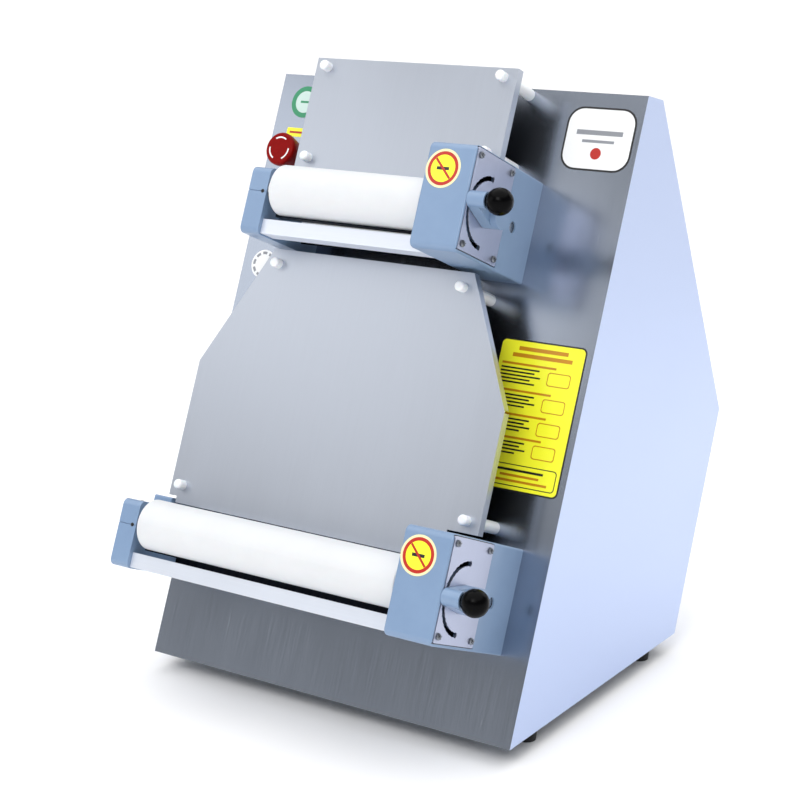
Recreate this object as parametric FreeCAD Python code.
import FreeCAD, Part
import math
import os

os.makedirs("parts", exist_ok=True)

# A two-stage bench dough sheeter: a folded steel body whose front leans back, two feed
# plates standing off that front, and a pair of rollers at the foot of each plate.
# All sizes are millimetres.  The world frame has +X to the operator's right, +Y to the
# back and +Z up.  Pieces on the leaning front are drawn in a panel frame instead:
# x across, u up along the front panel from its bottom edge, v straight out of it.

# ---------------------------------------------------------------- driving dimensions
casing_width = 450.0
casing_height = 606.0
base_depth = 363.0
front_lean = 22.7
top_depth = 33.0
top_fall = 7.0
knee_height = 239.0
knee_reach = 95.0
sheet = 1.5
cover_flange = 15.0
cover_gap = 0.6
base_sheet = 2.0

foot_height = 20.0
foot_radius = 13.0
foot_side_inset = 22.0
foot_front_y = 70.0
foot_rear_inset = 43.0

roller_radius = 26.5
nip_closed = 0.7
nip_open = 5.7
rear_roller_gap = 15.3
lower_pivot_u = 133.5
stage_pitch = 367.2
lower_block_inset = 24.0
upper_block_inset = 94.0
lower_housing_inset = 84.5
upper_housing_inset = 150.0
roller_left_gap = 14.0
roller_right_gap = 8.0

lower_lever_rest = 0.0
upper_lever_rest = 10.0

axle_radius = 8.0
journal_radius = 6.0
bush_wall = 2.0
eccentric_radius = 10.0
running_fit = 0.03
seat_fit = 0.02
free_gap = 0.3

# ---------------------------------------------------------------- values worked out
lean = math.radians(front_lean)
front_top_y = casing_height * math.tan(lean)
half_width = casing_width / 2.0
throw = (nip_open - nip_closed) / 2.0
axis_spacing = 2.0 * roller_radius + (nip_open + nip_closed) / 2.0
rear_axis_v = roller_radius + rear_roller_gap
pivot_v = rear_axis_v + axis_spacing
upper_pivot_u = lower_pivot_u + stage_pitch
lower_block_inner_x = -half_width + lower_block_inset
upper_block_inner_x = -half_width + upper_block_inset
lower_housing_x = half_width - lower_housing_inset
upper_housing_x = half_width - upper_housing_inset


# ---------------------------------------------------------------- drawing helpers
def slab(x0, x1, a0, a1, b0, b1):
    """A box between two corners, in whichever frame is being drawn in."""
    return Part.makeBox(x1 - x0, a1 - a0, b1 - b0, FreeCAD.Vector(x0, a0, b0))


def rod(x0, x1, a, b, radius):
    """A round bar along X."""
    return Part.makeCylinder(radius, x1 - x0, FreeCAD.Vector(x0, a, b), FreeCAD.Vector(1, 0, 0))


def post(x, a, b0, b1, radius):
    """A round bar along the frame's third axis."""
    return Part.makeCylinder(radius, b1 - b0, FreeCAD.Vector(x, a, b0), FreeCAD.Vector(0, 0, 1))


def ring(x0, x1, a, b, outer, inner):
    """A collar along X."""
    return rod(x0, x1, a, b, outer).cut(rod(x0 - 1.0, x1 + 1.0, a, b, inner))


def prism_x(points, x0, x1):
    """A polygon of (second axis, third axis) points, extruded along X."""
    corners = [FreeCAD.Vector(x0, a, b) for a, b in points]
    face = Part.Face(Part.makePolygon(corners + corners[:1]))
    return face.extrude(FreeCAD.Vector(x1 - x0, 0, 0))


def prism_v(points, v0, v1):
    """A polygon of (x, u) points, extruded along the third axis."""
    corners = [FreeCAD.Vector(x, u, v0) for x, u in points]
    face = Part.Face(Part.makePolygon(corners + corners[:1]))
    return face.extrude(FreeCAD.Vector(0, 0, v1 - v0))


def inset(points, distances):
    """Move each side of an anticlockwise polygon inwards by its own distance."""
    lines = []
    for i, (x0, y0) in enumerate(points):
        x1, y1 = points[(i + 1) % len(points)]
        length = math.hypot(x1 - x0, y1 - y0)
        dx = (x1 - x0) / length
        dy = (y1 - y0) / length
        lines.append((x0 - dy * distances[i], y0 + dx * distances[i], dx, dy))
    moved = []
    for i, (bx, by, dx1, dy1) in enumerate(lines):
        ax, ay, dx0, dy0 = lines[i - 1]
        cross = dx0 * dy1 - dy0 * dx1
        reach = ((bx - ax) * dy1 - (by - ay) * dx1) / cross
        moved.append((ax + dx0 * reach, ay + dy0 * reach))
    return moved


def join(shapes):
    """Fuse a list of touching shapes into one clean solid."""
    return shapes[0].multiFuse(shapes[1:]).removeSplitter()


def cut_all(shape, tools):
    """Take a list of shapes away from one."""
    return shape.cut(Part.Compound(tools)) if tools else shape


def rounded(shape, radius, keep):
    """Round the straight edges that the test picks out."""
    edges = [e for e in shape.Edges if keep(e)]
    return shape.makeFillet(radius, edges)


def is_along(edge, axis):
    """True for a straight edge that runs along the given axis (0, 1 or 2)."""
    start = edge.Vertexes[0].Point
    end = edge.Vertexes[-1].Point
    steps = [abs(end[i] - start[i]) for i in range(3)]
    return sum(steps) > 1e-6 and steps[axis] > 0.999 * math.dist(start, end)


# ---------------------------------------------------------------- placing in the world
# The origin is the middle of the whole machine's box, on the bench.  Across, the box runs
# from the casing's left side to the ball knob; front to back, from the lower drive
# housing's rounded front corner to the knee of the rear covers.
housing_width = 53.5
housing_before_pivot = 40.0
housing_depth = pivot_v + housing_before_pivot
guard_under_roller = 19.5
housing_under_guard = 1.5
housing_over_roller = 32.0
guard_low = roller_radius + guard_under_roller
housing_below = guard_low + housing_under_guard
housing_above = roller_radius + housing_over_roller
edge_round = 7.0
knob_standoff = 33.0
knob_radius = 13.5

lower_housing_outer_x = lower_housing_x + housing_width
box_left = -half_width
box_right = lower_housing_outer_x + knob_standoff + knob_radius
round_centre_u = lower_pivot_u - housing_below + edge_round
round_centre_v = housing_depth - edge_round
box_front = round_centre_u * math.sin(lean) - round_centre_v * math.cos(lean) - edge_round
box_back = base_depth + knee_reach
shift = FreeCAD.Vector(-(box_left + box_right) / 2.0, -(box_front + box_back) / 2.0, foot_height)

panel_place = FreeCAD.Placement(shift, FreeCAD.Rotation(FreeCAD.Vector(1, 0, 0), 90.0 - front_lean))
casing_place = FreeCAD.Placement(shift, FreeCAD.Rotation())


def save(name, solids, place):
    """Write one node: a solid, or a list of like solids."""
    group = solids if isinstance(solids, list) else [solids]
    shapes = []
    for shape in group:
        shapes.extend(shape.Solids)
    node = shapes[0].copy() if len(shapes) == 1 else Part.Compound([s.copy() for s in shapes])
    node.Placement = place.multiply(node.Placement)
    node.exportStep("parts/" + name + ".step")


# ---------------------------------------------------------------- body casing
# Outline of the side, anticlockwise seen with Y to the right: bottom edge, lower rear,
# upper rear, top strip, front panel.
knee_y = base_depth + knee_reach
outline = [
    (0.0, 0.0),
    (base_depth, 0.0),
    (knee_y, knee_height),
    (front_top_y + top_depth, casing_height - top_fall),
    (front_top_y, casing_height),
]
BOTTOM, REAR_LOW, REAR_UP, TOP, FRONT = range(5)
open_side = -5.0


def side_insets(default, **named):
    """One inset for each side of the outline, by name."""
    order = ["bottom", "rear_low", "rear_up", "top", "front"]
    return [named.get(side, default) for side in order]


def panel_tool(shape):
    """Bring a shape drawn in the panel frame into the casing frame."""
    turned = shape.copy()
    turned.rotate(FreeCAD.Vector(0, 0, 0), FreeCAD.Vector(1, 0, 0), 90.0 - front_lean)
    return turned


def edge_strip(side, start_gap, end_gap, depth0, depth1, x0, x1):
    """A sheet lying along one side of the outline, between two depths under its surface."""
    ax, ay = outline[side]
    bx, by = outline[(side + 1) % len(outline)]
    length = math.hypot(bx - ax, by - ay)
    dx = (bx - ax) / length
    dy = (by - ay) / length

    def at(along, depth):
        return (ax + dx * along - dy * depth, ay + dy * along + dx * depth)

    near = start_gap
    far = length - end_gap
    return prism_x([at(near, depth0), at(far, depth0), at(far, depth1), at(near, depth1)], x0, x1)


def edge_bore(side, along, x, depth0, depth1, radius):
    """A round bar square to one side of the outline, for screws and their holes."""
    ax, ay = outline[side]
    bx, by = outline[(side + 1) % len(outline)]
    length = math.hypot(bx - ax, by - ay)
    dx = (bx - ax) / length
    dy = (by - ay) / length
    base = FreeCAD.Vector(x, ax + dx * along - dy * depth0, ay + dy * along + dx * depth0)
    return Part.makeCylinder(radius, depth1 - depth0, base, FreeCAD.Vector(0, -dy, dx))


def side_length(side):
    ax, ay = outline[side]
    bx, by = outline[(side + 1) % len(outline)]
    return math.hypot(bx - ax, by - ay)


flange_under = base_sheet
cover_screw_radius = 2.0
cover_head_radius = 4.0
cover_head_height = 2.2
screw_inset = 8.0
cover_side_x = half_width - sheet - cover_gap
screw_x = half_width - sheet - screw_inset


def cover_screw_places(side):
    """Three screws down each edge of a cover: side, distance along it, x."""
    length = side_length(side)
    return [(side, length * share, x) for share in (0.14, 0.5, 0.86) for x in (-screw_x, screw_x)]


cover_screw_spots = cover_screw_places(REAR_LOW) + cover_screw_places(REAR_UP)

# Plate posts: a white spacer between panel and plate, a steel stud through it, and a
# white domed cap nut on the plate's face.
plate_centre_x = -18.0
plate_front_v = rear_axis_v + 15.2
plate_sheet = 1.5
post_radius = 6.3
stud_radius = 3.0
plate_half = half_width - 101.0
transfer_half = half_width - 34.5
transfer_shoulder_u = upper_pivot_u - guard_low - 5.7
transfer_knee_u = transfer_shoulder_u - 131.0
upper_post_half = plate_half - 15.5
upper_post_top_u = upper_pivot_u + 149.3
upper_post_left_u = upper_pivot_u + 49.3
upper_post_right_u = upper_pivot_u + 70.3
transfer_post_top_half = plate_half - 9.0
transfer_post_top_u = transfer_shoulder_u - 16.0
transfer_post_low_half = transfer_half - 15.5
transfer_post_left_u = lower_pivot_u + 49.5
transfer_post_right_u = lower_pivot_u + 73.5
post_spots = [
    (plate_centre_x - upper_post_half, upper_post_top_u),
    (plate_centre_x + upper_post_half, upper_post_top_u),
    (plate_centre_x - upper_post_half, upper_post_left_u),
    (plate_centre_x + upper_post_half, upper_post_right_u),
    (plate_centre_x - transfer_post_top_half, transfer_post_top_u),
    (plate_centre_x + transfer_post_top_half, transfer_post_top_u),
    (plate_centre_x - transfer_post_low_half, transfer_post_left_u),
    (plate_centre_x + transfer_post_low_half, transfer_post_right_u),
]

# Belts run straight back from each rear roller through a slot in the panel.
belt_thickness = 2.0
belt_width = 10.0
pulley_radius = 18.0
pulley_flange = 2.0
pulley_flange_lip = 3.0
pulley_offset = 22.0
shaft_v = -78.0
rear_axis_rise = throw / 2.0
slot_margin = 4.0

estop_x = -half_width + 40.0
estop_u = upper_pivot_u + 62.5
estop_stem_radius = 11.0


class Stage:
    """Where one pair of rollers sits."""

    def __init__(self, name, pivot_u, block_inner_x, housing_x, lever_rest):
        self.name = name
        self.pivot_u = pivot_u
        self.front_u = pivot_u + throw
        self.rear_u = pivot_u + rear_axis_rise
        self.lever_rest = lever_rest
        self.block_inner_x = block_inner_x
        self.housing_x = housing_x
        self.outer_x = housing_x + housing_width
        self.roller_x0 = block_inner_x + roller_left_gap
        self.roller_x1 = housing_x - roller_right_gap
        self.belt_x0 = housing_x + pulley_offset + pulley_flange
        self.belt_x1 = self.belt_x0 + belt_width


stages = [
    Stage("lower", lower_pivot_u, lower_block_inner_x, lower_housing_x, lower_lever_rest),
    Stage("upper", upper_pivot_u, upper_block_inner_x, upper_housing_x, upper_lever_rest),
]

shell_outer = prism_x(outline, -half_width, half_width)
shell_inner = prism_x(inset(outline, side_insets(open_side, top=sheet, front=sheet)),
                      -half_width + sheet, half_width - sheet)
shell = shell_outer.cut(shell_inner)

# return flanges that the covers and the base plate screw to
flange_outer = inset(outline, side_insets(sheet, bottom=flange_under, top=0.0, front=0.0))
flange_inner = inset(outline, side_insets(2 * sheet, bottom=flange_under + sheet, top=-1.0, front=-1.0))
flange_loop = prism_x(flange_outer, -half_width + 0.1, half_width - 0.1)
flange_loop = flange_loop.cut(prism_x(flange_inner, -half_width, half_width))
left_band = slab(-half_width + sheet / 2, -half_width + sheet + cover_flange, -10, knee_y + 10, -10,
                 casing_height + 10)
right_band = slab(half_width - sheet - cover_flange, half_width - sheet / 2, -10, knee_y + 10, -10,
                  casing_height + 10)
casing = join([shell, flange_loop.common(left_band), flange_loop.common(right_band)])

casing_holes = []
for spot_x, spot_u in post_spots:
    casing_holes.append(panel_tool(post(spot_x, spot_u, -10.0, 1.0, stud_radius + free_gap)))
for stage in stages:
    slot_half = pulley_radius + belt_thickness + slot_margin
    casing_holes.append(panel_tool(slab(stage.belt_x0 - slot_margin, stage.belt_x1 + slot_margin,
                                        stage.rear_u - slot_half, stage.rear_u + slot_half, -10.0, 1.0)))
casing_holes.append(panel_tool(post(estop_x, estop_u, -10.0, 1.0, estop_stem_radius + free_gap)))
for side, along, x in cover_screw_spots:
    casing_holes.append(edge_bore(side, along, x, sheet - 0.2, 2 * sheet + 1.0, cover_screw_radius + 0.1))
casing = cut_all(casing, casing_holes)
save("main_casing", casing, casing_place)

# ---------------------------------------------------------------- covers and base plate
louvre_count = 9
louvre_length = 150.0
louvre_height = 4.0
louvre_pitch = 14.0
gland_x = -120.0
gland_along_share = 0.72
gland_thread_radius = 8.0


def cover(side, start_gap, end_gap):
    """A flat rear cover with its screw holes, lying between the side panels."""
    plate = edge_strip(side, start_gap, end_gap, 0.0, sheet, -cover_side_x, cover_side_x)
    holes = [edge_bore(s, along, x, -1.0, sheet + 1.0, cover_screw_radius + free_gap)
             for s, along, x in cover_screw_spots if s == side]
    return cut_all(plate, holes)


knee_gap = sheet + cover_gap
under_top_gap = 2 * sheet + cover_gap
upper_cover = cover(REAR_UP, knee_gap, under_top_gap)
louvre_start = side_length(REAR_UP) * 0.18
louvres = []
for i in range(louvre_count):
    along = louvre_start + i * louvre_pitch
    length = side_length(REAR_UP)
    louvres.append(edge_strip(REAR_UP, along, length - along - louvre_height, -1.0, sheet + 1.0,
                              -louvre_length / 2, louvre_length / 2))
save("rear_upper_cover", cut_all(upper_cover, louvres), casing_place)

gland_along = side_length(REAR_LOW) * (1.0 - gland_along_share)
lower_cover = cover(REAR_LOW, cover_gap, knee_gap)
lower_cover = lower_cover.cut(edge_bore(REAR_LOW, gland_along, gland_x, -1.0, sheet + 1.0,
                                        gland_thread_radius + free_gap))
save("rear_lower_cover", lower_cover, casing_place)

foot_spots = [(sx * (half_width - foot_side_inset), y) for sx in (-1, 1)
              for y in (foot_front_y, base_depth - foot_rear_inset)]
foot_screw_radius = 3.0
base_plate = edge_strip(BOTTOM, sheet + cover_gap + 1.0, cover_gap + 2.0, 0.0, base_sheet,
                        -cover_side_x, cover_side_x)
base_plate = cut_all(base_plate, [post(x, y, -1.0, base_sheet + 1.0, foot_screw_radius + free_gap)
                                  for x, y in foot_spots])
save("base_plate", base_plate, casing_place)

cover_screws = []
for side, along, x in cover_screw_spots:
    head = edge_bore(side, along, x, -cover_head_height, 0.0, cover_head_radius)
    shank = edge_bore(side, along, x, -0.5, 2 * sheet + 3.0, cover_screw_radius)
    cover_screws.append(join([head, shank]))

gland_nut_radius = 11.0
gland_nut_height = 6.0
gland_dome_height = 9.0
gland_dome_radius = 9.5
gland_bore_radius = 4.5
gland_parts = [
    edge_bore(REAR_LOW, gland_along, gland_x, -gland_nut_height, 0.0, gland_nut_radius),
    edge_bore(REAR_LOW, gland_along, gland_x, -gland_nut_height - gland_dome_height, -gland_nut_height + 1.0,
              gland_dome_radius),
    edge_bore(REAR_LOW, gland_along, gland_x, -1.0, 12.0, gland_thread_radius),
]
gland = join(gland_parts).cut(edge_bore(REAR_LOW, gland_along, gland_x, -40.0, 40.0, gland_bore_radius))
save("cable_gland", gland, casing_place)

# ---------------------------------------------------------------- feet
foot_taper = 3.0
foot_recess_radius = 7.0
foot_recess_depth = 8.0
feet = []
foot_screws = []
foot_nut_radius = 5.0
for x, y in foot_spots:
    cone = Part.makeCone(foot_radius - foot_taper, foot_radius, foot_height,
                         FreeCAD.Vector(x, y, -foot_height))
    cone = cone.cut(post(x, y, -foot_height - 1.0, -foot_height + foot_recess_depth, foot_recess_radius))
    feet.append(cone.cut(post(x, y, -foot_height, 1.0, foot_screw_radius + 0.1)))
    head = post(x, y, -foot_height + foot_recess_depth - 3.0, -foot_height + foot_recess_depth,
                foot_nut_radius)
    shank = post(x, y, -foot_height + foot_recess_depth - 1.0, base_sheet + 8.0, foot_screw_radius)
    nut = post(x, y, base_sheet, base_sheet + 5.0, foot_nut_radius)
    foot_screws.append(join([head, shank, nut]))
save("rubber_feet", feet, casing_place)
save("casing_fasteners", cover_screws + foot_screws, casing_place)

# ---------------------------------------------------------------- feed plates
plate_flange = 10.0
plate_gap = 3.0
plate_over_roller = 2.0
notch_width = 3.0
block_rear_above = 34.0
lower, upper = stages


def feed_plate(outline_points, flanged, notches, spots):
    """A flat plate with its side edges folded back and slotted at the bends."""
    face = prism_v(outline_points, plate_front_v - plate_sheet, plate_front_v)
    rim_inner = inset(outline_points, [plate_sheet if i in flanged else -plate_gap
                                       for i in range(len(outline_points))])
    rim_outer = prism_v(outline_points, plate_front_v - plate_flange, plate_front_v - plate_sheet / 2)
    rim = rim_outer.cut(prism_v(rim_inner, 0.0, plate_front_v + 1.0))
    for nx, nu in notches:
        rim = rim.cut(slab(nx - 2 * notch_width, nx + 2 * notch_width, nu - notch_width / 2,
                           nu + notch_width / 2, 0.0, plate_front_v - plate_sheet))
    rim_pieces = [s for s in rim.Solids if s.Volume > 50.0]
    plate = join([face] + rim_pieces)
    holes = [post(x, u, 0.0, plate_front_v + 5.0, stud_radius + free_gap) for x, u in spots]
    return cut_all(plate, holes)


tongue_left = upper.block_inner_x + plate_gap
tongue_right = upper.housing_x - plate_gap
upper_left_notch_u = upper.pivot_u + block_rear_above + plate_gap
upper_right_notch_u = upper.pivot_u + housing_above + plate_gap
upper_foot_u = upper.rear_u + roller_radius + plate_over_roller
upper_outline = [
    (tongue_left, upper_foot_u),
    (tongue_right, upper_foot_u),
    (tongue_right, upper_right_notch_u),
    (plate_centre_x + plate_half, upper_right_notch_u),
    (plate_centre_x + plate_half, upper_post_top_u + 10.0),
    (plate_centre_x - plate_half, upper_post_top_u + 10.0),
    (plate_centre_x - plate_half, upper_left_notch_u),
    (tongue_left, upper_left_notch_u),
]
upper_plate = feed_plate(upper_outline, (3, 5), [], post_spots[:4])
save("upper_feed_plate", upper_plate, panel_place)

low_tongue_left = lower.block_inner_x + plate_gap
low_tongue_right = lower.housing_x - plate_gap
low_left_notch_u = lower.pivot_u + block_rear_above + plate_gap
low_right_notch_u = lower.pivot_u + housing_above + plate_gap
transfer_foot_u = lower.rear_u + roller_radius + plate_over_roller
transfer_outline = [
    (low_tongue_left, transfer_foot_u),
    (low_tongue_right, transfer_foot_u),
    (low_tongue_right, low_right_notch_u),
    (plate_centre_x + transfer_half, low_right_notch_u),
    (plate_centre_x + transfer_half, transfer_knee_u),
    (plate_centre_x + plate_half, transfer_shoulder_u),
    (plate_centre_x - plate_half, transfer_shoulder_u),
    (plate_centre_x - transfer_half, transfer_knee_u),
    (plate_centre_x - transfer_half, low_left_notch_u),
    (low_tongue_left, low_left_notch_u),
]
knee_notches = [(plate_centre_x - transfer_half, transfer_knee_u),
                (plate_centre_x + transfer_half, transfer_knee_u)]
transfer_plate = feed_plate(transfer_outline, (3, 4, 6, 7), knee_notches, post_spots[4:])
save("transfer_plate", transfer_plate, panel_place)

cap_radius = 5.3
cap_height = 10.5
cap_round = 2.6
stud_nut_height = 5.0
spacers = []
caps = []
studs = []
for x, u in post_spots:
    spacer = post(x, u, 0.0, plate_front_v - plate_sheet, post_radius)
    spacers.append(spacer.cut(post(x, u, -1.0, plate_front_v, stud_radius + seat_fit)))
    cap = post(x, u, plate_front_v, plate_front_v + cap_height, cap_radius)
    cap = rounded(cap, cap_round, lambda e: e.BoundBox.ZMin > plate_front_v + cap_height - 0.1)
    cap_bore = post(x, u, plate_front_v - 1.0, plate_front_v + cap_height / 2, stud_radius + seat_fit)
    caps.append(cap.cut(cap_bore))
    stud = post(x, u, -sheet - stud_nut_height - 2.0, plate_front_v + cap_height / 2, stud_radius)
    nut = post(x, u, -sheet - stud_nut_height, -sheet, stud_radius + 2.5)
    studs.append(join([stud, nut]))
save("plate_spacers", spacers, panel_place)
save("plate_cap_nuts", caps, panel_place)
save("plate_studs", studs, panel_place)

# ---------------------------------------------------------------- roller stages
wall = 4.0
small_round = 2.0
block_width = 23.5
block_front_v = pivot_v + 10.0
block_rear_v = rear_axis_v + 18.2
block_above = 24.0
parting_depth = 1.0
bearing_outer = 14.0
bearing_width = 8.0
bush_outer = journal_radius + bush_wall
boss_wall = 4.0
boss_depth = 6.0
neck_radius = 12.5
neck_step = 1.0
gear_offset = 7.0
gear_width = 10.0
gear_teeth = 16
gear_tip_reach = 2.1
gear_tip_clearance = 0.7
gear_tip = axis_spacing / 2.0 + gear_tip_reach
gear_root = 2.0 * roller_radius + nip_closed - gear_tip - gear_tip_clearance
tooth_root_width = 4.4
tooth_tip_width = 1.7
guard_v = pivot_v + 5.0
guard_lip = 15.8
guard_shelf = 23.0
guard_sheet = 1.5
plate_recess = 1.5
scale_thickness = 2.0
scale_edge_gap = 0.8
scale_low = housing_below - 3.5
scale_high = housing_above - 2.0
scale_v0 = pivot_v - 38.0
scale_v1 = pivot_v + 37.5
scale_screw_inset = 6.5
scale_bore_lip = 1.0
lever_radius = 34.0
slot_width = 4.4
detent_radius = 2.7
detent_step = 10.0
lever_sweep = 90.0
plug_radius = 6.0


def gear(x0, x1, u, v, phase, bore):
    """A coarse gear with long, thin, straight-sided teeth, phase in degrees from +v to -u."""
    body = rod(x0, x1, u, v, gear_root)
    teeth = []
    for i in range(gear_teeth):
        flank = [(u - tooth_root_width / 2, v + gear_root - 1.0), (u - tooth_tip_width / 2, v + gear_tip),
                 (u + tooth_tip_width / 2, v + gear_tip), (u + tooth_root_width / 2, v + gear_root - 1.0)]
        tooth = prism_x(flank, x0, x1)
        tooth.rotate(FreeCAD.Vector(x0, u, v), FreeCAD.Vector(1, 0, 0), phase + i * 360.0 / gear_teeth)
        teeth.append(tooth)
    blank = body.multiFuse(teeth).removeSplitter()
    return blank.cut(rod(x0 - 1.0, x1 + 1.0, u, v, bore))


def pulley(x0, u, v, bore):
    """A flat-bottomed toothed pulley between two flanges."""
    x1 = x0 + 2 * pulley_flange + belt_width
    drum = rod(x0, x1, u, v, pulley_radius)
    groove_count = 20
    grooves = []
    for i in range(groove_count):
        groove = slab(x0 + pulley_flange, x1 - pulley_flange, u - 0.9, u + 0.9,
                      v + pulley_radius - 1.2, v + pulley_radius + 1.0)
        groove.rotate(FreeCAD.Vector(x0, u, v), FreeCAD.Vector(1, 0, 0), i * 360.0 / groove_count)
        grooves.append(groove)
    drum = cut_all(drum, grooves)
    lip = pulley_radius + pulley_flange_lip
    drum = drum.multiFuse([rod(x0, x0 + pulley_flange - 0.3, u, v, lip),
                           rod(x1 - pulley_flange + 0.3, x1, u, v, lip)])
    return drum.cut(rod(x0 - 1.0, x1 + 1.0, u, v, bore))


def belt(x0, start, end):
    """A closed flat belt round two equal pulleys at the (u, v) points start and end."""
    outer = pulley_radius + free_gap + belt_thickness
    inner = pulley_radius + free_gap
    du = end[0] - start[0]
    dv = end[1] - start[1]
    length = math.hypot(du, dv)
    angle = math.degrees(math.atan2(dv, du))

    def loop(radius, x_from, x_to):
        ends = [rod(x_from, x_to, start[0], start[1], radius), rod(x_from, x_to, end[0], end[1], radius)]
        middle = slab(x_from, x_to, start[0], start[0] + length, start[1] - radius, start[1] + radius)
        middle.rotate(FreeCAD.Vector(0, start[0], start[1]), FreeCAD.Vector(1, 0, 0), angle)
        return ends[0].multiFuse([ends[1], middle])

    return loop(outer, x0, x0 + belt_width).cut(loop(inner, x0 - 1.0, x0 + belt_width + 1.0)).removeSplitter()


def drive_housing(stage):
    """The moulded box that covers the gears, open to the panel behind it."""
    x0 = stage.housing_x
    x1 = stage.outer_x
    u0 = stage.pivot_u - housing_below
    u1 = stage.pivot_u + housing_above
    outer = slab(x0, x1, u0, u1, 0.0, housing_depth)
    outer = rounded(outer, edge_round, lambda e: is_along(e, 0) and e.BoundBox.ZMin > 1.0)
    outer = rounded(outer, small_round, lambda e: e.BoundBox.ZMax > 1.0 and e.BoundBox.XLength < 0.01)
    cavity = slab(x0 + wall, x1 - wall, u0 + wall, u1 - wall, -1.0, housing_depth - wall)
    box = outer.cut(cavity)
    pivot = (stage.pivot_u, pivot_v)
    rear = (stage.rear_u, rear_axis_v)
    bosses = [
        rod(x1 - wall - boss_depth, x1 - plate_recess, rear[0], rear[1], bearing_outer + boss_wall),
        rod(x1 - wall - boss_depth, x1 - plate_recess, pivot[0], pivot[1], bush_outer + boss_wall),
    ]
    box = join([box] + bosses)
    scale_bed = slab(x1 - plate_recess, x1 + 1.0, stage.pivot_u - scale_low - scale_edge_gap,
                     stage.pivot_u + scale_high + scale_edge_gap, scale_v0 - scale_edge_gap,
                     scale_v1 + scale_edge_gap)
    slot_well = ring(x1 - wall - 1.0, x1 + 1.0, pivot[0], pivot[1], lever_radius + detent_radius + 1.0,
                     lever_radius - detent_radius - 1.0)
    slot_well = slot_well.common(slab(x0, x1 + 2.0, u0, u1, pivot[1] - 1.5 * detent_radius, housing_depth))
    cuts = [
        scale_bed,
        slot_well,
        rod(x1 - wall - boss_depth - 1.0, x1 - wall - boss_depth + bearing_width, rear[0], rear[1],
            bearing_outer + seat_fit),
        rod(x1 - wall, x1 + 1.0, rear[0], rear[1], plug_radius),
        rod(x1 - wall - boss_depth - 1.0, x1 + 1.0, pivot[0], pivot[1], bush_outer + seat_fit),
        rod(x0 - 1.0, x0 + wall + 1.0, rear[0], rear[1], axle_radius + 4.0),
        rod(x0 - 1.0, x0 + wall + 1.0, pivot[0], pivot[1], neck_radius + throw + neck_step),
    ]
    for su, sv in scale_screw_spots(stage):
        cuts.append(rod(x1 - wall - 1.0, x1 + 1.0, su, sv, scale_shank_radius + seat_fit))
    return cut_all(box, cuts)


def scale_plate(stage):
    """The plate on the housing's outer side, with the half-round slot the lever pin runs in."""
    x0 = stage.outer_x - plate_recess
    x1 = x0 + scale_thickness
    u0 = stage.pivot_u - scale_low
    u1 = stage.pivot_u + scale_high
    plate = slab(x0, x1, u0, u1, scale_v0, scale_v1)
    plate = rounded(plate, 2.0, lambda e: is_along(e, 0))
    arc = ring(x0 - 1.0, x1 + 1.0, stage.pivot_u, pivot_v, lever_radius + slot_width / 2,
               lever_radius - slot_width / 2)
    arc = arc.common(slab(x0 - 1.0, x1 + 1.0, u0, u1, pivot_v, scale_v1 + 5.0))
    cuts = [arc]
    steps = int(round(2 * lever_sweep / detent_step))
    for i in range(steps + 1):
        angle = math.radians(-lever_sweep + i * detent_step)
        cuts.append(rod(x0 - 1.0, x1 + 1.0, stage.pivot_u - lever_radius * math.sin(angle),
                        pivot_v + lever_radius * math.cos(angle), detent_radius))
    cuts.append(rod(x0 - 1.0, x1 + 1.0, stage.pivot_u, pivot_v, bush_outer - scale_bore_lip))
    for su, sv in scale_screw_spots(stage):
        cuts.append(rod(x0 - 1.0, x1 + 1.0, su, sv, 1.8))
    return cut_all(plate, cuts)


def scale_screw_spots(stage):
    """The four corner screws of a scale plate."""
    low = stage.pivot_u - scale_low + scale_screw_inset
    high = stage.pivot_u + scale_high - scale_screw_inset
    near = scale_v1 - scale_screw_inset
    far = scale_v0 + scale_screw_inset
    return [(low, near), (low, far), (high, near), (high, far)]


scale_head_radius = 3.4
scale_head_height = 1.8
scale_shank_radius = 1.5
scale_shank_length = 6.0


def scale_screws(stage):
    """Pan-head screws that hold the scale plate, as separate solids."""
    face_x = stage.outer_x - plate_recess + scale_thickness
    screws = []
    for su, sv in scale_screw_spots(stage):
        head = rod(face_x, face_x + scale_head_height, su, sv, scale_head_radius)
        rim = [e for e in head.Edges if e.BoundBox.XMin > face_x + scale_head_height - 0.1]
        shank = rod(face_x - scale_shank_length, face_x + 0.5, su, sv, scale_shank_radius)
        screws.append(join([head.makeFillet(0.8, rim), shank]))
    return screws


def bearing_block(stage):
    """The solid block at the left that carries the far ends of both rollers."""
    x1 = stage.block_inner_x
    x0 = x1 - block_width
    u0 = stage.pivot_u - housing_below
    front = slab(x0, x1, u0, stage.pivot_u + block_above, 0.0, block_front_v)
    front = rounded(front, edge_round, lambda e: is_along(e, 0) and e.BoundBox.ZMin > 1.0)
    rear = slab(x0, x1, u0, stage.pivot_u + block_rear_above, 0.0, block_rear_v)
    rear = rounded(rear, small_round, lambda e: is_along(e, 0) and e.BoundBox.ZMin > 1.0
                   and e.BoundBox.YMin > stage.pivot_u)
    block = join([front, rear])
    parting = slab(x0 - 1.0, x1 + 1.0, stage.pivot_u - 2.5, stage.pivot_u - 2.0,
                   block_front_v - parting_depth, block_front_v + 1.0)
    cuts = [
        parting,
        rod(x1 - bearing_width, x1 + 1.0, stage.rear_u, rear_axis_v, bearing_outer + seat_fit),
        rod(x1 - bush_length, x1 + 1.0, stage.pivot_u, pivot_v, bush_outer + seat_fit),
    ]
    return cut_all(block, cuts)


bush_length = 16.0


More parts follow.
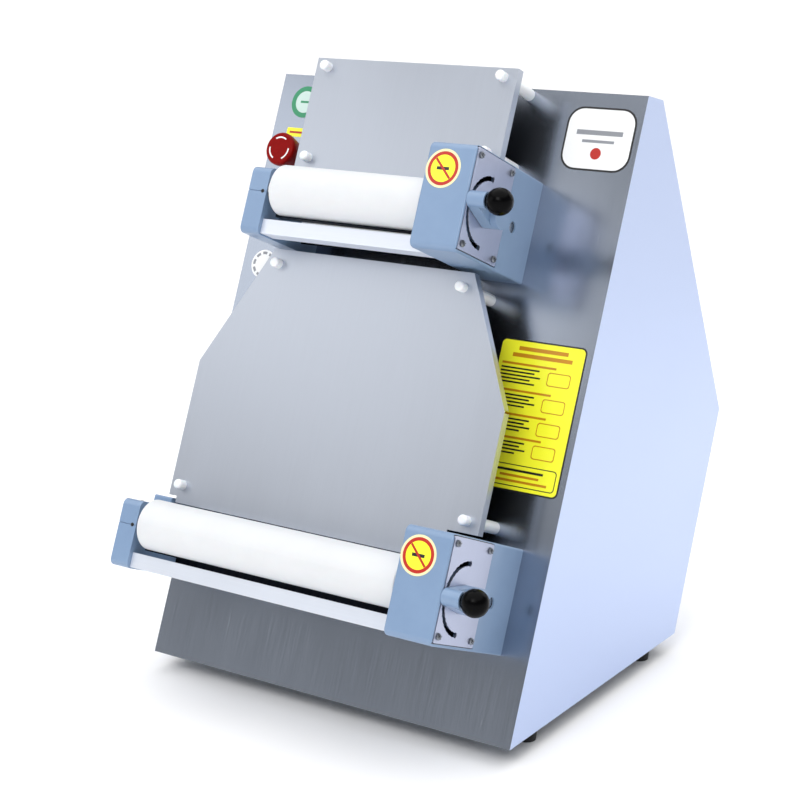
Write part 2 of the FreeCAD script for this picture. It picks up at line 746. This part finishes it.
def axle_bearings(stage):
    """The two ball bearings of the rear roller's axle."""
    left = ring(stage.block_inner_x - bearing_width, stage.block_inner_x, stage.rear_u, rear_axis_v,
                bearing_outer, journal_radius + running_fit)
    x1 = stage.outer_x - wall - boss_depth + bearing_width
    right = ring(x1 - bearing_width, x1, stage.rear_u, rear_axis_v, bearing_outer,
                 journal_radius + running_fit)
    return [left, right]


def shaft_bushes(stage):
    """The two bronze bushes that the eccentric shaft turns in."""
    left = ring(stage.block_inner_x - bush_length, stage.block_inner_x, stage.pivot_u, pivot_v,
                bush_outer, journal_radius + running_fit)
    x1 = stage.outer_x - plate_recess
    right = ring(x1 - boss_depth - wall + plate_recess, x1, stage.pivot_u, pivot_v, bush_outer,
                 journal_radius + running_fit)
    return [left, right]


def rear_axle(stage):
    """The driven axle: a thick middle with turned-down ends."""
    x0 = stage.block_inner_x - bearing_width + 0.5
    x1 = stage.outer_x - wall - boss_depth + bearing_width - 0.5
    thick = rod(stage.block_inner_x + 1.0, stage.outer_x - wall - boss_depth - 1.0, stage.rear_u,
                rear_axis_v, axle_radius)
    return join([rod(x0, x1, stage.rear_u, rear_axis_v, journal_radius), thick])


def roller_tube(stage, u, v, bore):
    """The white plastic roller, slightly rounded at both ends."""
    tube = rod(stage.roller_x0, stage.roller_x1, u, v, roller_radius)
    tube = tube.makeFillet(1.5, [e for e in tube.Edges if e.BoundBox.XLength < 0.01])
    return tube.cut(rod(stage.roller_x0 - 1.0, stage.roller_x1 + 1.0, u, v, bore))


roller_bush_outer = 13.0
roller_bush_length = 25.0


def roller_bushes(stage, u, v):
    """The two plain bushes inside the front roller, and the steel neck's own bore."""
    left = ring(stage.roller_x0, stage.roller_x0 + roller_bush_length, u, v, roller_bush_outer,
                eccentric_radius + running_fit)
    right = ring(stage.roller_x1 - roller_bush_length, stage.roller_x1, u, v, roller_bush_outer,
                 eccentric_radius + running_fit)
    return [left, right]


def eccentric_shaft(stage):
    """One shaft: journals on the pivot line, a thicker middle set off it by the throw."""
    u = stage.front_u
    thick_x0 = stage.block_inner_x + 1.0
    thick_x1 = stage.housing_x + gear_offset + gear_width + 1.5
    middle = rod(thick_x0, thick_x1, u, pivot_v, eccentric_radius)
    left = rod(stage.block_inner_x - bush_length + 1.0, thick_x0 + 1.0, stage.pivot_u, pivot_v,
               journal_radius)
    right = rod(thick_x1 - 1.0, stage.outer_x + hub_gap + hub_depth - 2.0, stage.pivot_u, pivot_v,
                journal_radius)
    return join([middle, left, right])


def at_lever_rest(stage, shape):
    """Turn a piece of the lever, drawn pointing straight out, up to the detent it rests in."""
    turned = shape.copy()
    turned.rotate(FreeCAD.Vector(0, stage.pivot_u, pivot_v), FreeCAD.Vector(1, 0, 0), -stage.lever_rest)
    return turned


hub_gap = 1.0
hub_depth = 19.0
hub_radius = 14.0
arm_radius = 8.4
arm_depth = 12.0
pin_radius = 2.4
pin_bore_gap = 0.3


def lever(stage):
    """The cast lever: a hub on the shaft, an arm, and the tube the ball knob slides on."""
    x0 = stage.outer_x + hub_gap
    tip_v = pivot_v + lever_radius
    hub = rod(x0, x0 + hub_depth, stage.pivot_u, pivot_v, hub_radius)
    stem = rod(x0, x0 + hub_depth, stage.pivot_u, tip_v, arm_radius)
    dx = (hub_radius - arm_radius) / lever_radius
    spread = math.sqrt(1.0 - dx * dx)
    web = prism_x([
        (stage.pivot_u - hub_radius * spread, pivot_v + hub_radius * dx),
        (stage.pivot_u - arm_radius * spread, tip_v + arm_radius * dx),
        (stage.pivot_u + arm_radius * spread, tip_v + arm_radius * dx),
        (stage.pivot_u + hub_radius * spread, pivot_v + hub_radius * dx),
    ], x0, x0 + arm_depth)
    body = join([hub, stem, web])
    cuts = [
        rod(x0 - 1.0, x0 + hub_depth - 2.0, stage.pivot_u, pivot_v, journal_radius),
        rod(x0 - 1.0, x0 + hub_depth + 1.0, stage.pivot_u, tip_v, pin_radius + pin_bore_gap),
        rod(x0 + spring_seat, x0 + spring_seat + pin_collar + pull_travel + spring_closed, stage.pivot_u,
            tip_v, spring_outer + free_gap),
    ]
    return at_lever_rest(stage, cut_all(body, cuts))


spring_seat = 4.0
spring_outer = 4.6
pin_tip_radius = 1.7
pin_collar = 1.5
pull_travel = 5.0
spring_closed = 5.5
knob_gap = 0.4


def plunger(stage):
    """The steel pin: a thin tip in the slot, a shoulder over the plate, a spring collar."""
    tip_v = pivot_v + lever_radius
    x_tip = stage.outer_x - plate_recess + free_gap
    x_shoulder = stage.outer_x - plate_recess + scale_thickness + free_gap
    x_knob = stage.outer_x + knob_standoff
    collar_x = stage.outer_x + hub_gap + spring_seat + free_gap
    return at_lever_rest(stage, join([
        rod(x_tip, x_shoulder + 1.0, stage.pivot_u, tip_v, pin_tip_radius),
        rod(x_shoulder, x_knob, stage.pivot_u, tip_v, pin_radius),
        rod(collar_x, collar_x + pin_collar, stage.pivot_u, tip_v, spring_outer - free_gap),
    ]))


def ball_knob(stage):
    """The black ball, flattened where it meets the lever's stem and bored for the pin."""
    tip_v = pivot_v + lever_radius
    centre_x = stage.outer_x + knob_standoff
    face_x = stage.outer_x + hub_gap + hub_depth + knob_gap
    ball = Part.makeSphere(knob_radius, FreeCAD.Vector(centre_x, stage.pivot_u, tip_v))
    neck = rod(face_x, centre_x, stage.pivot_u, tip_v, arm_radius - 1.5)
    ball = join([ball, neck])
    ball = ball.common(rod(face_x, centre_x + 2 * knob_radius, stage.pivot_u, tip_v, 2 * knob_radius))
    return at_lever_rest(stage, ball.cut(rod(face_x - 1.0, centre_x, stage.pivot_u, tip_v, pin_radius)))


def roller_guard(stage):
    """The bright folded strip under the front roller, from block to housing."""
    low = stage.pivot_u - guard_low
    profile = [
        (low, guard_v - guard_shelf),
        (low, guard_v),
        (low + guard_lip, guard_v),
        (low + guard_lip, guard_v - guard_sheet),
        (low + guard_sheet, guard_v - guard_sheet),
        (low + guard_sheet, guard_v - guard_shelf),
    ]
    return prism_x(profile, stage.block_inner_x, stage.housing_x)


scraper_sheet = 1.2
scraper_gap = 0.4
scraper_reach = 13.0
hanger_thickness = 2.0
hanger_ring_wall = 4.0
hanger_gap = 2.0


def front_scraper(stage):
    """A blade under the front roller, hung from the shaft at the left and the gear's neck at the right."""
    u = stage.front_u
    x0 = stage.roller_x0 - hanger_gap - hanger_thickness
    x1 = stage.roller_x1 + hanger_gap + hanger_thickness
    blade_u = u - roller_radius - scraper_gap
    blade = slab(x0, x1, blade_u - scraper_sheet, blade_u, pivot_v - scraper_reach, pivot_v - 1.0)
    left_bore = eccentric_radius + running_fit
    right_bore = neck_radius + running_fit
    pieces = [blade]
    for hx, bore in ((x0, left_bore), (x1 - hanger_thickness, right_bore)):
        pieces.append(rod(hx, hx + hanger_thickness, u, pivot_v, bore + hanger_ring_wall))
        pieces.append(slab(hx, hx + hanger_thickness, blade_u - scraper_sheet, u, pivot_v - scraper_reach,
                           pivot_v - 1.0))
    frame = join(pieces)
    return cut_all(frame, [
        rod(x0 - 1.0, x0 + hanger_thickness + 1.0, u, pivot_v, left_bore),
        rod(x1 - hanger_thickness - 1.0, x1 + 1.0, u, pivot_v, right_bore),
    ])


def rear_scraper(stage):
    """The fixed blade that keeps dough off the rear roller, screwed to block and housing."""
    u = stage.rear_u - roller_radius - scraper_gap
    blade = slab(stage.block_inner_x, stage.housing_x, u - scraper_sheet, u, rear_axis_v - scraper_reach,
                 rear_axis_v)
    rib = slab(stage.block_inner_x, stage.housing_x, u - scraper_reach, u, rear_axis_v - scraper_reach,
               rear_axis_v - scraper_reach + scraper_sheet)
    return join([blade, rib])


bearings = []
bushes = []
plate_screws = []
rear_blades = []
for stage in stages:
    gear_x0 = stage.housing_x + gear_offset
    half_tooth = 180.0 / gear_teeth
    save(stage.name + "_drive_housing", drive_housing(stage), panel_place)
    save(stage.name + "_scale_plate", scale_plate(stage), panel_place)
    save(stage.name + "_bearing_block", bearing_block(stage), panel_place)
    bearings.extend(axle_bearings(stage))
    bushes.extend(shaft_bushes(stage))
    plate_screws.extend(scale_screws(stage))
    rear_blades.append(rear_scraper(stage))
    save(stage.name + "_rear_axle", rear_axle(stage), panel_place)
    save(stage.name + "_rear_roller",
         roller_tube(stage, stage.rear_u, rear_axis_v, axle_radius), panel_place)
    save(stage.name + "_rear_gear",
         gear(gear_x0, gear_x0 + gear_width, stage.rear_u, rear_axis_v, 0.0, axle_radius), panel_place)
    save(stage.name + "_drive_pulley",
         pulley(stage.housing_x + pulley_offset, stage.rear_u, rear_axis_v, axle_radius), panel_place)
    front_gear = gear(gear_x0, gear_x0 + gear_width, stage.front_u, pivot_v, half_tooth,
                      eccentric_radius + running_fit)
    neck = ring(stage.roller_x1, gear_x0 + 1.0, stage.front_u, pivot_v, neck_radius,
                eccentric_radius + running_fit)
    front_gear = join([front_gear, neck])
    save(stage.name + "_front_roller",
         roller_tube(stage, stage.front_u, pivot_v, roller_bush_outer), panel_place)
    save(stage.name + "_front_gear", front_gear, panel_place)
    save(stage.name + "_roller_bushes", roller_bushes(stage, stage.front_u, pivot_v), panel_place)
    save(stage.name + "_eccentric_shaft", eccentric_shaft(stage), panel_place)
    save(stage.name + "_lever", lever(stage), panel_place)
    save(stage.name + "_plunger_pin", plunger(stage), panel_place)
    save(stage.name + "_ball_knob", ball_knob(stage), panel_place)
    save(stage.name + "_roller_guard", roller_guard(stage), panel_place)
    save(stage.name + "_front_scraper", front_scraper(stage), panel_place)
save("shaft_bushes", bushes, panel_place)
save("scale_plate_screws", plate_screws, panel_place)
save("rear_scrapers", rear_blades, panel_place)

# ---------------------------------------------------------------- drive train
# The gearmotor turns the main shaft behind the lower stage.  One belt goes forward to the
# lower rear roller, one goes up to the upper shaft, and a third goes forward from there.
cross_belt_x = upper_housing_x - 33.0
gearbox_width = 80.0
gearbox_x1 = cross_belt_x - 24.0
gearbox_x0 = gearbox_x1 - gearbox_width
shaft_end_over = 10.0
bracket_to_end = 8.0
main_shaft_x0 = gearbox_x0 - 30.0
upper_shaft_x0 = cross_belt_x - 54.0
main_bracket_xs = (main_shaft_x0 + bracket_to_end, lower_housing_x - 28.5)
upper_bracket_xs = (upper_shaft_x0 + bracket_to_end, upper_housing_x - 3.0)
bracket_sheet = 4.0
bracket_half = 24.0
bracket_foot = 26.0
bracket_beyond = 22.0
bearing_house_wall = 4.0


def shaft_bracket(x, u):
    """An angle behind the panel with a housing for one ball bearing."""
    foot = slab(x, x + bracket_foot, u - bracket_half, u + bracket_half, -sheet - bracket_sheet, -sheet)
    web = slab(x, x + bracket_sheet, u - bracket_half, u + bracket_half, shaft_v - bracket_beyond, -sheet)
    house = rod(x, x + bearing_width, u, shaft_v, bearing_outer + bearing_house_wall)
    bracket = join([foot, web, house])
    return bracket.cut(rod(x - 1.0, x + bearing_width + 1.0, u, shaft_v, bearing_outer + seat_fit))


def shaft_bearing(x, u):
    """A ball bearing in its bracket."""
    return ring(x, x + bearing_width, u, shaft_v, bearing_outer, journal_radius + running_fit)


brackets = []
for bracket_xs, stage in ((main_bracket_xs, lower), (upper_bracket_xs, upper)):
    for x in bracket_xs:
        brackets.append(shaft_bracket(x, stage.rear_u))
        bearings.append(shaft_bearing(x, stage.rear_u))
save("shaft_brackets", brackets, panel_place)
save("ball_bearings", bearings, panel_place)

cross_pulley_x = cross_belt_x - pulley_flange
for name, stage, x0 in (("main", lower, main_shaft_x0), ("upper", upper, upper_shaft_x0)):
    stage_pulley_x = stage.housing_x + pulley_offset
    x1 = stage_pulley_x + 2 * pulley_flange + belt_width + shaft_end_over
    save(name + "_shaft", rod(x0, x1, stage.rear_u, shaft_v, journal_radius), panel_place)
    pulleys = [pulley(x, stage.rear_u, shaft_v, journal_radius) for x in (cross_pulley_x, stage_pulley_x)]
    save(name + "_shaft_pulleys", pulleys, panel_place)

belts = [belt(stage.belt_x0, (stage.rear_u, shaft_v), (stage.rear_u, rear_axis_v)) for stage in stages]
belts.append(belt(cross_belt_x, (lower.rear_u, shaft_v), (upper.rear_u, shaft_v)))
save("drive_belts", belts, panel_place)

# Gearmotor on the base plate, in the casing frame.
shaft_y = lower.rear_u * math.sin(lean) - shaft_v * math.cos(lean)
shaft_z = lower.rear_u * math.cos(lean) + shaft_v * math.sin(lean)
gearbox_half_depth = 40.0
gearbox_above = 50.0
gearbox_round = 8.0
worm_rise = 33.0
motor_radius = 50.0
motor_length = 150.0
motor_flange_radius = 44.0
motor_flange_length = 9.0
fin_count = 24
fin_height = 4.0
fin_width = 3.0
fan_cover_length = 32.0
gearbox_x = (gearbox_x0 + gearbox_x1) / 2.0
worm_z = shaft_z + worm_rise


def bar_y(x, z, y0, y1, radius):
    """A round bar along Y in the casing frame."""
    return Part.makeCylinder(radius, y1 - y0, FreeCAD.Vector(x, y0, z), FreeCAD.Vector(0, 1, 0))


gearbox = slab(gearbox_x0, gearbox_x1, shaft_y - gearbox_half_depth, shaft_y + gearbox_half_depth,
               base_sheet, shaft_z + gearbox_above)
gearbox = rounded(gearbox, gearbox_round, lambda e: is_along(e, 0))
gearbox_back = shaft_y + gearbox_half_depth
gearbox = join([gearbox, bar_y(gearbox_x, worm_z, gearbox_back - 1.0, gearbox_back + motor_flange_length / 2,
                               motor_flange_radius)])
gearbox = gearbox.cut(rod(gearbox_x0 - 1.0, gearbox_x1 + 1.0, shaft_y, shaft_z, journal_radius + free_gap))
save("gearbox", gearbox, casing_place)

motor_y0 = gearbox_back + motor_flange_length / 2
motor_y1 = motor_y0 + motor_flange_length
motor_end = motor_y1 + motor_length
motor_pieces = [
    bar_y(gearbox_x, worm_z, motor_y0, motor_y1 + 1.0, motor_flange_radius),
    bar_y(gearbox_x, worm_z, motor_y1, motor_end, motor_radius - fin_height),
    bar_y(gearbox_x, worm_z, motor_end - fan_cover_length, motor_end, motor_radius),
]
for i in range(fin_count):
    fin = slab(gearbox_x - fin_width / 2, gearbox_x + fin_width / 2, motor_y1, motor_end - 1.0,
               worm_z + motor_radius - 2 * fin_height, worm_z + motor_radius)
    fin.rotate(FreeCAD.Vector(gearbox_x, motor_y1, worm_z), FreeCAD.Vector(0, 1, 0), i * 360.0 / fin_count)
    motor_pieces.append(fin)
save("motor", join(motor_pieces), casing_place)

control_x0 = half_width - 135.0
control_x1 = half_width - 35.0
control_y0 = 215.0
control_y1 = 325.0
control_height = 70.0
control_wall = 2.5
control_lid_lip = 2.0
control_box = slab(control_x0, control_x1, control_y0, control_y1, base_sheet, base_sheet + control_height)
control_box = rounded(control_box, 4.0, lambda e: is_along(e, 2))
control_room = slab(control_x0 + control_wall, control_x1 - control_wall, control_y0 + control_wall,
                    control_y1 - control_wall, base_sheet + control_wall,
                    base_sheet + control_height - control_wall)
control_lid = slab(control_x0 - control_lid_lip, control_x1 + control_lid_lip, control_y0 - control_lid_lip,
                   control_y1 + control_lid_lip, base_sheet + control_height - 10.0,
                   base_sheet + control_height + control_lid_lip)
save("control_box", join([control_box, control_lid]).cut(control_room), casing_place)

# ---------------------------------------------------------------- emergency stop
collar_radius = 15.0
collar_height = 3.0
stem_radius = 5.5
head_radius = 18.3
head_waist = 14.5
estop_travel = 4.0
head_low_v = collar_height + estop_travel + 1.0
head_rim_v = 27.0
head_top_v = 34.0
head_edge = 3.0
contact_width = 30.0
contact_height = 42.0
contact_depth = 40.0
barrel_nut = 5.0
contact_back_v = -sheet - barrel_nut - contact_depth

estop_body = join([
    post(estop_x, estop_u, 0.0, collar_height, collar_radius),
    post(estop_x, estop_u, -sheet - barrel_nut - 1.0, 1.0, estop_stem_radius),
    post(estop_x, estop_u, -sheet - barrel_nut, -sheet, collar_radius),
    slab(estop_x - contact_width / 2, estop_x + contact_width / 2, estop_u - contact_height / 2,
         estop_u + contact_height / 2, contact_back_v, -sheet - barrel_nut),
])
stem_low_v = contact_back_v + estop_travel + 6.0
estop_body = estop_body.cut(post(estop_x, estop_u, stem_low_v - estop_travel - 1.0, collar_height + 1.0,
                                 stem_radius + free_gap))
save("estop_body", estop_body, panel_place)

stem_top_v = head_low_v + 6.0
save("estop_stem", post(estop_x, estop_u, stem_low_v, stem_top_v, stem_radius), panel_place)

flare = Part.makeCone(head_waist, head_radius, head_rim_v - head_low_v,
                      FreeCAD.Vector(estop_x, estop_u, head_low_v), FreeCAD.Vector(0, 0, 1))
dome = post(estop_x, estop_u, head_rim_v, head_top_v, head_radius)
head = join([flare, dome])
head = rounded(head, head_edge, lambda e: e.BoundBox.ZMin > head_top_v - 0.1)
head = head.cut(post(estop_x, estop_u, head_low_v - 1.0, stem_top_v, stem_radius + running_fit))
save("estop_head", head, panel_place)
